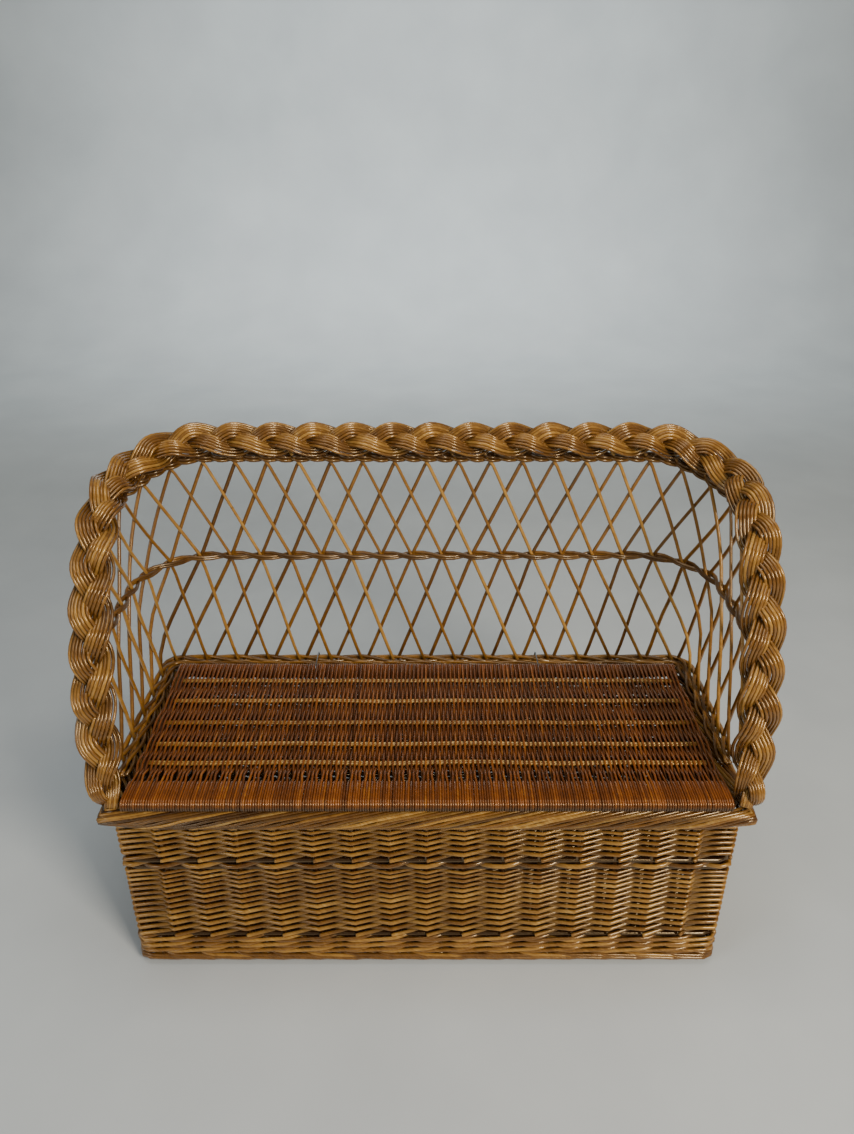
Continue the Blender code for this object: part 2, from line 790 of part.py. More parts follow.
def main():
    clear_scene()
    willow = make_material("lacquered_willow", (0.55, 0.33, 0.13), 0.4)
    seat_willow = make_material("seat_willow", (0.36, 0.18, 0.08), 0.45)
    wood = make_material("stained_pine", (0.12, 0.07, 0.04), 0.6)
    steel = make_material("steel_wire", (0.55, 0.55, 0.55), 0.3, 1.0)
    collection = bpy.data.collections.new(OBJECT_NAME)
    cutters = bpy.data.collections.new("cutters")
    for made in (collection, cutters):
        bpy.context.scene.collection.children.link(made)
    border = build_chest(willow, wood, collection)
    seat = build_lid(seat_willow, seat_willow, collection)
    build_hinges(border, seat, steel, collection, cutters)
    build_lattice(willow, collection, cutters)
    build_rim(willow, collection)


main()
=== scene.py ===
"""Looks of a woven willow storage bench: every rod of its chest, seat, lattice and plaited rim.

Metres, +Z up, +X along the bench, the front faces -Y. Each sub-assembly is a class that lays its
rods as lines; a bundle turns them into one mesh and marks each rod with a tone of its own.
"""

import logging
import math
import random
from dataclasses import dataclass, field
from enum import Enum
from typing import Callable, Iterable, Sequence

import bmesh
import bpy
import numpy as np
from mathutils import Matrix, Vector, noise


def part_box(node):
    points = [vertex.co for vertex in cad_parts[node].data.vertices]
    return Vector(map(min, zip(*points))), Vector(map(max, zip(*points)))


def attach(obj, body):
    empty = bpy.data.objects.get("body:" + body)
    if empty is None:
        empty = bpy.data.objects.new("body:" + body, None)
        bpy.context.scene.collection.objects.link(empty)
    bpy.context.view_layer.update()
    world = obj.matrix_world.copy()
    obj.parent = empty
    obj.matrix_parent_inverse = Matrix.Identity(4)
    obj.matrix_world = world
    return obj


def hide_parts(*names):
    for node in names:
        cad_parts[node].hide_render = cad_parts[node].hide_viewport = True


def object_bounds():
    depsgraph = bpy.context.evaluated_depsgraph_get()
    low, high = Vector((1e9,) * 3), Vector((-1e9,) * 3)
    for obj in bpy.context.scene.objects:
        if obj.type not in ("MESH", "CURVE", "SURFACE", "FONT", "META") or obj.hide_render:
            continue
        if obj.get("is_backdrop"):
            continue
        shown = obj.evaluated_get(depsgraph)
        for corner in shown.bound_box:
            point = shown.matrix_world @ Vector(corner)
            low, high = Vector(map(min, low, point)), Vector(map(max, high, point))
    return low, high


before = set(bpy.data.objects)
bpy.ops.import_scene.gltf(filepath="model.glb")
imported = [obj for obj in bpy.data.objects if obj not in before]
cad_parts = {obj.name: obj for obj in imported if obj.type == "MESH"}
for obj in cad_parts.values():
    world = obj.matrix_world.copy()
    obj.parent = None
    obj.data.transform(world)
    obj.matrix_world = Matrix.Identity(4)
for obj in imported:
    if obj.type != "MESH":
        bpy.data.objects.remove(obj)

CAD_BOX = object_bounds()
LOG = logging.getLogger("bench")
SEED = 41
WELD = 1e-6  # rod ends share their rim with their cap at this distance
# the third value of the rod attribute sets how much painted shade the finish gives a point
MARK = "rod"  # attribute: tone of the rod, metres along it, how deep in the work it lies

Line = list[Vector]


class Body(Enum):
    """The two moving bodies of the bench."""

    TRUNK = "trunk"
    LID = "lid"


class Slot(Enum):
    """The record's material slots."""

    WILLOW = "willow"
    SEAT = "seat_willow"
    WOOD = "frame_wood"
    STEEL = "steel_wire"


class Lean(Enum):
    """The two layers of the lattice: outer rods lean to the right, inner ones to the left."""

    OUTER = 1
    INNER = -1


# colour and small sums


def linear(code: str) -> tuple[float, float, float, float]:
    """Linear colour of an sRGB hex code.

    Args:
        code: six hex digits.

    Returns:
        Red, green, blue and an alpha of one.
    """
    made = []
    for i in (0, 2, 4):
        value = int(code[i : i + 2], 16) / 255
        made.append(value / 12.92 if value <= 0.04045 else ((value + 0.055) / 1.055) ** 2.4)
    return (made[0], made[1], made[2], 1.0)


def blend(pairs: Sequence[tuple[float, float]], at: float) -> float:
    """Straight-line value between (position, value) pairs, held flat past the ends."""
    if at <= pairs[0][0]:
        return pairs[0][1]
    for (a, low), (b, high) in zip(pairs, pairs[1:]):
        if at <= b:
            return low + (high - low) * (at - a) / (b - a)
    return pairs[-1][1]


def smooth(share: float) -> float:
    """A share from 0 to 1 eased at both ends."""
    share = min(max(share, 0.0), 1.0)
    return share * share * (3 - 2 * share)


def spread(low: float, high: float, count: int) -> list[float]:
    """Evenly spaced values from low to high, both included."""
    return [low + (high - low) * i / (count - 1) for i in range(count)]


# rods


@dataclass
class Rod:
    """One willow rod: its centre line, its radius and its look at each point."""

    line: Line
    radii: list[float]
    tone: float
    depth: list[float]
    closed: bool = False


@dataclass
class Bundle:
    """Many rods that become one piece."""

    name: str
    fineness: int = 1  # 1 gives six sides, 2 gives eight
    rods: list[Rod] = field(default_factory=list)

    def add(
        self,
        line: Line,
        radius: float | Sequence[float],
        tone: float,
        depth: Sequence[float] = (),
        closed: bool = False,
    ) -> None:
        """Adds one rod.

        Args:
            line: points of its centre line.
            radius: one radius, or one for each point.
            tone: 0 for a dark rod, 1 for a pale one.
            depth: painted shade for each point, from 0 on the outer face to 1 deep in the work.
            closed: whether the rod is a ring.
        """
        radii = [radius] * len(line) if isinstance(radius, float) else list(radius)
        self.rods.append(Rod(line, radii, tone, list(depth) or [0.0] * len(line), closed))

    def build(self) -> bpy.types.Object:
        """Turns the rods into one mesh object at the origin.

        Returns:
            The object, linked to the scene, with its rods marked.
        """
        curve = bpy.data.curves.new(self.name, "CURVE")
        curve.dimensions = "3D"
        curve.bevel_depth = 1.0
        curve.bevel_resolution = self.fineness
        curve.use_fill_caps = True
        for rod in self.rods:
            spline = curve.splines.new("POLY")
            spline.points.add(len(rod.line) - 1)
            spline.points.foreach_set("co", [v for p in rod.line for v in (*p, 1.0)])
            spline.points.foreach_set("radius", rod.radii)
            spline.use_cyclic_u = rod.closed
        holder = bpy.data.objects.new(self.name, curve)
        bpy.context.scene.collection.objects.link(holder)
        graph = bpy.context.evaluated_depsgraph_get()
        mesh = bpy.data.meshes.new_from_object(
            holder.evaluated_get(graph), preserve_all_data_layers=True, depsgraph=graph
        )
        bpy.data.objects.remove(holder)
        bpy.data.curves.remove(curve)
        self.mark(mesh)
        shape = bmesh.new()
        shape.from_mesh(mesh)
        bmesh.ops.remove_doubles(shape, verts=shape.verts, dist=WELD)
        shape.to_mesh(mesh)
        shape.free()
        mesh.name = self.name
        made = bpy.data.objects.new(self.name, mesh)
        bpy.context.scene.collection.objects.link(made)
        return made

    def mark(self, mesh: bpy.types.Mesh) -> None:
        """Writes tone, running length and depth on every vertex.

        Args:
            mesh: tubes in rod order, led by the end caps in reverse order.
        """
        sides = 4 + 2 * self.fineness
        rings: list[tuple[float, float, float]] = []
        caps: list[tuple[float, float, float]] = []
        for rod in self.rods:
            run = rod.tone * 7.0
            marks = []
            for i, point in enumerate(rod.line):
                run += (point - rod.line[i - 1]).length if i else 0.0
                marks.append((rod.tone, run, rod.depth[i]))
            rings += marks
            if not rod.closed:
                caps = [marks[-1], marks[0]] + caps
        values = np.repeat(np.array(caps + rings, np.float32), sides, axis=0)
        made = mesh.attributes.new(MARK, "FLOAT_VECTOR", "POINT")
        made.data.foreach_set("vector", values.ravel())


@dataclass
class Piece:
    """Where a finished piece belongs."""

    body: Body
    slot: Slot
    stands_for: tuple[str, ...] = ()

    def place(self, made: bpy.types.Object, finish: bpy.types.Material) -> bpy.types.Object:
        """Dresses a piece and hangs it on its body.

        Args:
            made: the piece.
            finish: its material.

        Returns:
            The same piece.
        """
        made.data.materials.clear()
        made.data.materials.append(finish)
        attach(made, self.body.value)
        if self.stands_for:
            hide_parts(*self.stands_for)
        LOG.info("%s: %d faces", made.name, len(made.data.polygons))
        return made


# the plan of the chest


@dataclass(frozen=True)
class Outline:
    """A rectangle with round corners, walked in beats, one for each stake.

    Beat 0 is the middle of the front; the corners fall on beats 8, 14, 30 and 36.
    """

    half_x: float
    front: float
    back: float
    radius: float
    unevenness: float = 0.05
    long_beats: int = 16
    short_beats: int = 6
    tightest: float = 0.003

    @property
    def beats(self) -> int:
        """Stakes in one round."""
        return 2 * (self.long_beats + self.short_beats)

    @property
    def corners(self) -> tuple[int, int, int, int]:
        """Beats at the corners: front right, back right, back left and front left."""
        half = self.long_beats // 2
        back_left = self.beats - half - self.short_beats
        return half, half + self.short_beats, back_left, self.beats - half

    def apart(self, beat: float, other: float) -> float:
        """Beats between two places, the short way round."""
        half = self.beats / 2
        return abs((beat - other + half) % self.beats - half)

    def wander(self, beat: float) -> float:
        """How far a stake stands from its even place, in beats, none at a corner."""
        low = math.floor(beat)
        values = []
        for i in (low, low + 1):
            at = i % self.beats
            fixed = at in self.corners
            values.append(0.0 if fixed else noise.noise(Vector((at * 1.7, 3.1, 0.0))) * 2)
        share = beat - low
        return (values[0] * (1 - share) + values[1] * share) * self.unevenness

    def place(self, beat: float, out: float, z: float) -> Vector:
        """A point beside the outline.

        Args:
            beat: how far round.
            out: how far outward from the outline.
            z: its height.

        Returns:
            The point.
        """
        beat += self.wander(beat)
        half = self.long_beats / 2
        beat = (beat + half) % self.beats - half
        half_x, front, back = self.half_x + out, self.front - out, self.back + out
        middle = (front + back) / 2
        half_y = (back - front) / 2
        quarter = self.short_beats / 2
        right, back_right, back_left, left = self.corners
        sides = (
            (right, 0.0, half, half_x, Vector((0, front)), Vector((1, 0))),
            (back_right, right + quarter, quarter, half_y, Vector((half_x, middle)),
             Vector((0, 1))),
            (back_left, self.beats / 2, half, half_x, Vector((0, back)), Vector((-1, 0))),
            (left, left - quarter, quarter, half_y, Vector((-half_x, middle)), Vector((0, -1))),
        )
        for last, centre, reach, length, origin, ahead in sides:
            if beat <= last + 1e-9:
                break
        radius = max(self.radius + out, self.tightest)
        straight = length - radius
        run = (beat - centre) / reach * (straight + radius * math.pi / 4)
        along, inset = run, 0.0
        if abs(run) > straight:
            angle = (abs(run) - straight) / radius
            along = math.copysign(straight + radius * math.sin(angle), run)
            inset = radius * (1 - math.cos(angle))
        outward = Vector((ahead.y, -ahead.x))
        point = origin + ahead * along - outward * inset
        return Vector((point.x, point.y, z))


Place = Callable[[float, float, float], Vector]


@dataclass(frozen=True)
class Twine:
    """Rods worked as a pairing or a waling: each lies in front of all stakes but one, then behind.

    A stroke climbs as it passes in front, or falls when rise is negative.
    """

    low: float
    high: float
    count: int  # two for a pairing, three for a waling
    depth: float
    radius: float
    rise: int = 1
    plies: int = 1
    centre: float = 0.0  # how far outward the stakes stand
    full: Callable[[float], float] = lambda beat: 1.0  # how much thicker the rods are at a beat

    def lay(
        self, bundle: Bundle, place: Place, first: float, last: float, draw: random.Random
    ) -> None:
        """Lays every rod of the twine.

        Args:
            bundle: where the rods go.
            place: gives a point for a beat, an outward offset and a height.
            first: beat at which it starts.
            last: beat at which it ends.
            draw: source of small differences.
        """
        steps = round((last - first) * 4)
        for j in range(self.count):
            for ply in range(self.plies):
                radius = self.radius * draw.uniform(0.93, 1.05)
                line, radii, depth = [], [], []
                for i in range(steps + 1):
                    beat = first + (last - first) * i / steps
                    radii.append(radius * self.full(beat))
                    phase = (beat + j) % self.count
                    away = min(phase, self.count - phase)  # beats from the stake it goes behind
                    swing = -math.cos(math.pi * min(away, 1.0))
                    share = (phase - 0.5) / (self.count - 1)
                    if not 0 <= share <= 1:
                        share = 1 - (phase + 0.5 - (self.count if phase > 1 else 0))
                    share = share if self.rise > 0 else 1 - share
                    z = self.low + (self.high - self.low) * share
                    z += ply * radius * 1.5
                    wave = noise.noise(Vector((beat * 0.9, j * 3.3, self.low * 90))) * 0.0008
                    out = self.centre + self.depth * swing - ply * radius * 0.5
                    line.append(place(beat, out, z + wave))
                    # painted shade, strongest where the rod passes behind a stake
                    depth.append((1 - swing) / 2)
                bundle.add(line, radii, 0.15 + 0.5 * draw.random(), depth)


# finishes


Settings = dict[str, object]
Links = dict[str, bpy.types.NodeSocket]


def add_node(
    tree: bpy.types.NodeTree,
    kind: str,
    settings: Settings | None = None,
    links: Links | None = None,
) -> bpy.types.Node:
    """Adds a node with its settings and links.

    Args:
        tree: the node tree.
        kind: the node's type without the ShaderNode prefix.
        settings: values for properties, or for inputs by name or number.
        links: sockets to join to inputs, by name or number.

    Returns:
        The node.
    """
    made = tree.nodes.new("ShaderNode" + kind)
    for name, value in (settings or {}).items():
        if isinstance(name, str) and hasattr(made, name):
            setattr(made, name, value)
        else:
            made.inputs[int(name) if name.isdigit() else name].default_value = value
    for name, socket in (links or {}).items():
        tree.links.new(socket, made.inputs[int(name) if name.isdigit() else name])
    return made


def set_ramp(node: bpy.types.Node, stops: Iterable[tuple[float, str]]) -> None:
    """Sets a colour ramp's stops from positions and hex codes."""
    elements = node.color_ramp.elements
    for i, (at, code) in enumerate(stops):
        element = elements[i] if i < 2 else elements.new(at)
        element.position = at
        element.color = linear(code)


def new_material(name: str) -> tuple[bpy.types.Material, bpy.types.NodeTree, bpy.types.Node]:
    """A node material and its shader."""
    made = bpy.data.materials.new(name)
    made.use_nodes = True
    tree = made.node_tree
    return made, tree, tree.nodes["Principled BSDF"]


@dataclass(frozen=True)
class WillowFinish:
    """Buff willow under clear lacquer: long streaks, a few dark bud scars, a wet-looking gloss."""

    name: str
    tones: tuple[tuple[float, str], ...]
    scar: str
    # painted shade: the colour that the deep parts of the weave are mixed towards, and how far
    shadow: str
    shadow_share: float
    roughness: float
    coat: float
    shine: str = "FFE0A8"

    def material(self) -> bpy.types.Material:
        """Builds the material.

        Returns:
            A material that reads each rod's mark.
        """
        made, tree, shader = new_material(self.name)
        mark = add_node(tree, "Attribute", {"attribute_name": MARK})
        parts = add_node(tree, "SeparateXYZ", links={"0": mark.outputs["Vector"]})
        tone, run, depth = parts.outputs
        place = add_node(tree, "TexCoord").outputs["Object"]

        # streaks: 0.6 mm across the rod, 40 mm along it
        across = add_node(tree, "VectorMath", {"operation": "SCALE", "Scale": 700.0}, {"0": place})
        along = add_node(tree, "Math", {"operation": "MULTIPLY", "1": 25.0}, {"0": run})
        streak_at = add_node(tree, "CombineXYZ", links={"0": along.outputs[0], "1": tone})
        streak = add_node(
            tree, "TexNoise", {"noise_dimensions": "4D", "Scale": 1.0, "Detail": 3.0},
            {"Vector": streak_at.outputs[0], "W": across.outputs[0]},
        )
        # blotches of thicker and thinner lacquer, 15 mm
        blotch = add_node(tree, "TexNoise", {"Scale": 65.0, "Detail": 2.0}, {"Vector": place})
        spread_tone = add_node(
            tree, "MapRange", {"3": -0.22, "4": 0.22}, {"0": streak.outputs["Fac"]}
        )
        patch_tone = add_node(
            tree, "MapRange", {"3": -0.20, "4": 0.20}, {"0": blotch.outputs["Fac"]}
        )
        tone_sum = add_node(
            tree, "Math", {"operation": "ADD"}, {"0": tone, "1": spread_tone.outputs[0]}
        )
        tone_all = add_node(
            tree, "Math", {"operation": "ADD", "use_clamp": True},
            {"0": tone_sum.outputs[0], "1": patch_tone.outputs[0]},
        )
        ramp = add_node(tree, "ValToRGB", links={"Fac": tone_all.outputs[0]})
        set_ramp(ramp, self.tones)
        # bud scars every 45 mm or so
        scar_at = add_node(tree, "CombineXYZ", links={"0": along.outputs[0], "1": tone})
        scars = add_node(
            tree, "TexVoronoi", {"Scale": 0.9, "Randomness": 1.0}, {"Vector": scar_at.outputs[0]}
        )
        scar = add_node(
            tree, "MapRange", {"1": 0.02, "2": 0.06, "3": 0.7, "4": 0.0},
            {"0": scars.outputs["Distance"]},
        )
        scarred = add_node(
            tree, "Mix", {"data_type": "RGBA", "7": linear(self.scar)},
            {"0": scar.outputs[0], "6": ramp.outputs["Color"]},
        )
        # painted shade: the deeper a point lies in the work, the more its colour turns to the
        # shadow colour
        painted_shade_amount = add_node(
            tree, "MapRange", {"1": 0.08, "2": 0.75, "3": 0.0, "4": self.shadow_share},
            {"0": depth},
        )
        shaded = add_node(
            tree, "Mix", {"data_type": "RGBA", "7": linear(self.shadow)},
            {"0": painted_shade_amount.outputs[0], "6": scarred.outputs[2]},
        )
        tree.links.new(shaded.outputs[2], shader.inputs["Base Color"])
        rough = add_node(
            tree, "MapRange", {"3": self.roughness - 0.08, "4": self.roughness + 0.12},
            {"0": streak.outputs["Fac"]},
        )
        tree.links.new(rough.outputs[0], shader.inputs["Roughness"])
        bump = add_node(
            tree, "Bump", {"Strength": 0.35, "Distance": 0.0004},
            {"Height": streak.outputs["Fac"]},
        )
        tree.links.new(bump.outputs[0], shader.inputs["Normal"])
        shader.inputs["Coat Weight"].default_value = self.coat
        shader.inputs["Coat Roughness"].default_value = 0.13
        shader.inputs["IOR"].default_value = 1.5
        # the lacquer is amber, so its shine is too
        shader.inputs["Specular IOR Level"].default_value = 1.0
        shader.inputs["Specular Tint"].default_value = linear(self.shine)
        return made


@dataclass(frozen=True)
class StainedPine:
    """Softwood under dark stain: straight grain, dull."""

    name: str = "stained pine"
    dark: str = "2A1A10"
    pale: str = "5A3A20"

    def material(self) -> bpy.types.Material:
        """Builds the material."""
        made, tree, shader = new_material(self.name)
        place = add_node(tree, "TexCoord").outputs["Object"]
        stretched = add_node(tree, "Mapping", {"Scale": (6.0, 6.0, 60.0)}, {"Vector": place})
        grain = add_node(
            tree, "TexNoise", {"Scale": 6.0, "Detail": 5.0}, {"Vector": stretched.outputs[0]}
        )
        ramp = add_node(tree, "ValToRGB", links={"Fac": grain.outputs["Fac"]})
        set_ramp(ramp, ((0.35, self.dark), (0.65, self.pale)))
        tree.links.new(ramp.outputs["Color"], shader.inputs["Base Color"])
        bump = add_node(
            tree, "Bump", {"Strength": 0.3, "Distance": 0.0005}, {"Height": grain.outputs["Fac"]}
        )
        tree.links.new(bump.outputs[0], shader.inputs["Normal"])
        shader.inputs["Roughness"].default_value = 0.6
        return made


@dataclass(frozen=True)
class GalvanisedWire:
    """Drawn steel wire with a dull zinc skin."""

    name: str = "galvanised steel wire"

    def material(self) -> bpy.types.Material:
        """Builds the material."""
        made, tree, shader = new_material(self.name)
        place = add_node(tree, "TexCoord").outputs["Object"]
        skin = add_node(tree, "TexNoise", {"Scale": 900.0, "Detail": 3.0}, {"Vector": place})
        ramp = add_node(tree, "ValToRGB", links={"Fac": skin.outputs["Fac"]})
        set_ramp(ramp, ((0.3, "77777A"), (0.7, "B5B5B2")))
        tree.links.new(ramp.outputs["Color"], shader.inputs["Base Color"])
        rough = add_node(tree, "MapRange", {"3": 0.28, "4": 0.5}, {"0": skin.outputs["Fac"]})
        tree.links.new(rough.outputs[0], shader.inputs["Roughness"])
        shader.inputs["Metallic"].default_value = 1.0
        return made


# chest


@dataclass
class Chest:
    """The woven chest: uprights, woven bands and the rolled border the seat rests on."""

    finish: bpy.types.Material
    draw: random.Random
    depth: float = 0.0068  # how far a weaver swings from the middle of the wall
    upright_radius: float = 0.0042
    packing_radius: float = 0.0046
    weaver_radius: float = 0.0032
    corner: float = 0.012
    side_gain: float = 0.18  # how much thicker the weavers are on the sides
    back_gain: float = 0.16  # how much thicker again along the back
    grip: float = 0.06  # share of the way to the next stake where a weaver's bend ends
    settle: float = 0.985  # share of its swing that a weaver keeps over a stake

    def __post_init__(self) -> None:
        """Takes the plan of the wall from the frame's outer faces."""
        low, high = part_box("lower_weave")
        inset = self.depth + 0.0028
        self.plan = Outline(high.x - inset, low.y + inset, high.y - inset, self.corner)
        self.half_round = self.plan.beats / 2

    def build(self) -> None:
        """Builds and dresses every piece of the chest."""
        self.uprights()
        self.randing("lower_weave", rows=26, taper=0.26)
        self.randing("upper_weave", rows=14, taper=0.18)
        self.pairing()
        self.foot()
        self.border()

    def full(self, beat: float) -> float:
        """How much thicker the rods are away from the front, where the weave is beaten tight."""
        past = self.plan.apart(beat, 0.0)
        side, back = self.plan.corners[:2]
        return 1.0 + self.side_gain * smooth(past - side) + self.back_gain * smooth(past - back)

    def dress(self, bundle: Bundle, *nodes: str) -> None:
        """Finishes a bundle as a piece of the trunk."""
        Piece(Body.TRUNK, Slot.WILLOW, nodes).place(bundle.build(), self.finish)

    def uprights(self) -> None:
        """The stakes that the bands are woven on."""
        bundle = Bundle("uprights")
        low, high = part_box("foot_waling")[0].z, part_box("upper_weave")[1].z
        into_border, waling_top, sunk = 0.008, 0.040, 0.001
        for beat in range(self.plan.beats):
            line = [self.plan.place(beat, 0.0, z) for z in spread(low, high + into_border, 5)]
            # the stakes carry a strong painted shade
            bundle.add(line, self.upright_radius, self.draw.random() * 0.5, [0.8] * 5)
        # packing rods close the joins between bands, painted dark as shade, for they lie deep
        middle_low, middle_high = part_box("middle_waling")
        joins = (low + waling_top, middle_low.z + sunk, middle_high.z - sunk, high - sunk)
        for z in joins:
            line = [self.plan.place(beat / 4, 0.0, z) for beat in range(4 * self.plan.beats)]
            bundle.add(line, self.packing_radius, 0.1, [1.0] * len(line), closed=True)
        self.dress(bundle)

    def cross_at(self, beat: float) -> float:
        """Where between two stakes the weavers cross, as a share of the way.

        Args:
            beat: the stake before the crossing.

        Returns:
            The share: far from a corner stake beside it, and late on the left of the front.
        """
        corners = self.plan.corners
        at = round(beat) % self.plan.beats
        if at + 1 in corners:
            return 0.22
        if at in corners:
            return 0.78
        if at > corners[-1]:
            return 0.60
        return 0.51 if at < corners[0] else 0.55

    def weaver_point(self, step: float, start: int) -> tuple[float, float]:
        """Beat and swing of a weaver.

        Args:
            step: rows climbed, one for each stake passed.
            start: beat at which the weaver leaves the bottom row.

        Returns:
            The beat, and the swing from -1 inside to 1 outside.
        """
        below = math.floor(step + 1e-6)
        share = step - below
        sign = 1 if below % 2 == 0 else -1
        cross = self.cross_at(start + below)
        swing = 1 - share / cross if share < cross else -(share - cross) / (1 - cross)
        return start + step, sign * swing

    def randing(self, node: str, rows: int, taper: float) -> None:
        """One band of plain weave: each rod climbs one row for each stake that it passes.

        Args:
            node: the band's node.
            rows: rows of rods in the band.
            taper: how much wider the lowest row is than the mean, as a share.
        """
        low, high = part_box(node)
        bundle = Bundle(f"{node}_rods", 2)
        height = high.z - low.z
        half = self.plan.beats // 2
        for start in range(-half - rows + 1, half):
            first = max(0, -half - start)
            last = min(rows - 1, half - start)
            if last <= first:
                continue
            tone = 0.3 + 0.4 * self.draw.random()
            girth = self.draw.uniform(0.92, 1.06)
            line, radii, depth = [], [], []
            for below in range(first, last + 1):
                cross = self.cross_at(start + below)
                for share in (0.0, self.grip, cross, 1 - self.grip):
                    step = below + share
                    if step > last:
                        break
                    beat, swing = self.weaver_point(step, start)
                    level = (step + 0.5) / rows
                    z = low.z + height * ((1 + taper) * level - taper * level * level)
                    pitch = height / rows * (1 + taper - 2 * taper * level)
                    swing *= self.settle if share == 0.0 else 1.0
                    lift = noise.noise(Vector((beat * 0.8, start * 1.3, rows))) * 0.0011
                    line.append(self.plan.place(beat, self.depth * swing, z + lift))
                    radius = min(pitch * 0.49, self.weaver_radius)
                    radii.append(radius * girth * self.full(beat))
                    # painted shade, strongest where the weaver passes behind a stake
                    depth.append((1 - swing) / 2)
            if len(line) > 3:
                bundle.add(line, radii, tone, depth)
        self.dress(bundle, node)

    def pairing(self) -> None:
        """The single pair of rods between the two bands of plain weave."""
        low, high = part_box("middle_waling")
        bundle = Bundle("middle_pairing", 2)
        twine = Twine(
            low=low.z + 0.0045,
            high=high.z - 0.0040,
            count=2,
            depth=self.depth + 0.0008,
            radius=0.0035,
            full=self.full,
        )
        twine.lay(bundle, self.plan.place, -self.half_round, self.half_round, self.draw)
        self.dress(bundle, "middle_waling")

    def foot(self) -> None:
        """The walings at the foot and the border under them."""
        low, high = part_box("foot_waling")
        bundle = Bundle("foot_waling_rods", 2)
        courses, stagger = 3, 0.33
        depth = self.depth + 0.001
        step = (high.z - low.z) / courses
        for i in range(courses):
            bottom = low.z + step * i + 0.0035
            first, last = -self.half_round + i * stagger, self.half_round + i * stagger
            twine = Twine(
                low=bottom, high=bottom + step - 0.003, count=3, depth=depth, radius=0.0031
            )
            twine.lay(bundle, self.plan.place, first, last, self.draw)
        self.dress(bundle, "foot_waling")
        low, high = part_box("foot_border")
        bundle = Bundle("foot_border_rods", 2)
        twine = Twine(
            low=low.z + 0.0028,
            high=low.z + 0.0085,
            count=3,
            depth=depth,
            radius=0.0029,
            rise=-1,
            plies=2,
            centre=0.0015,
        )
        twine.lay(bundle, self.plan.place, -self.half_round, self.half_round + 1, self.draw)
        self.dress(bundle, "foot_border")

    def border(self) -> None:
        """The border: every stake laid over to the right in a bundle that rolls over the rim."""
        low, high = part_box("top_border")
        half_width, half_height = 0.0245, (high.z - low.z) / 2
        centre = (low.z + high.z) / 2
        plan = Outline(
            half_x=high.x - half_width,
            front=low.y + half_width,
            back=high.y - half_width,
            radius=-0.019,  # square corners: the bundle's own width rounds them
            unevenness=0.02,
        )
        corners = (*plan.corners, plan.corners[0] + plan.beats)
        radius, rods, stagger = 0.0025, 3, 0.36
        reach, points = 6.0, 25  # stakes that a rod passes, and points along it
        start, roll = -75, 250  # degrees round the bundle
        bundle = Bundle("top_border_rods", 2)
        for stake in range(plan.beats):
            for rod in range(rods):
                girth = radius * self.draw.uniform(0.92, 1.08)
                line, depth = [], []
                shift = rod * stagger
                shares = spread(0.0, 1.0, points)
                for corner in corners:
                    at = (corner - stake + shift) / reach
                    shares += [at] if 0.02 < at < 0.98 else []
                for share in sorted({round(share, 3) for share in shares}):
                    turn = math.radians(start + roll * share)
                    tuck = min(smooth(share / 0.12), smooth((1 - share) / 0.12))
                    ease = 0.78 + 0.22 * tuck + 0.015 * math.sin(share * 9 + rod)
                    wide = (half_width - girth) * ease
                    tall = (half_height - girth) * ease
                    cos, sin = math.cos(turn), math.sin(turn)
                    out = math.copysign(abs(cos) ** 0.75, cos) * wide
                    up = math.copysign(abs(sin) ** 0.75, sin) * tall
                    beat = stake + reach * share - shift
                    past = min(plan.apart(beat, corner) for corner in plan.corners)
                    pinch = 0.30 * math.exp(-((past / 0.7) ** 2))
                    up = up * (1 - pinch) + half_height * pinch * 0.7
                    line.append(plan.place(beat, out, centre + up))
                    # painted shade, stronger where the rod's ends tuck into the bundle
                    depth.append(1 - tuck)
                # painted shade: every rod gets a random least amount of it
                sunk = 0.55 * self.draw.random()
                depth = [max(d, sunk) for d in depth]
                bundle.add(line, girth, 0.75 * self.draw.random(), depth)
        self.dress(bundle, "top_border")


# lattice and plait


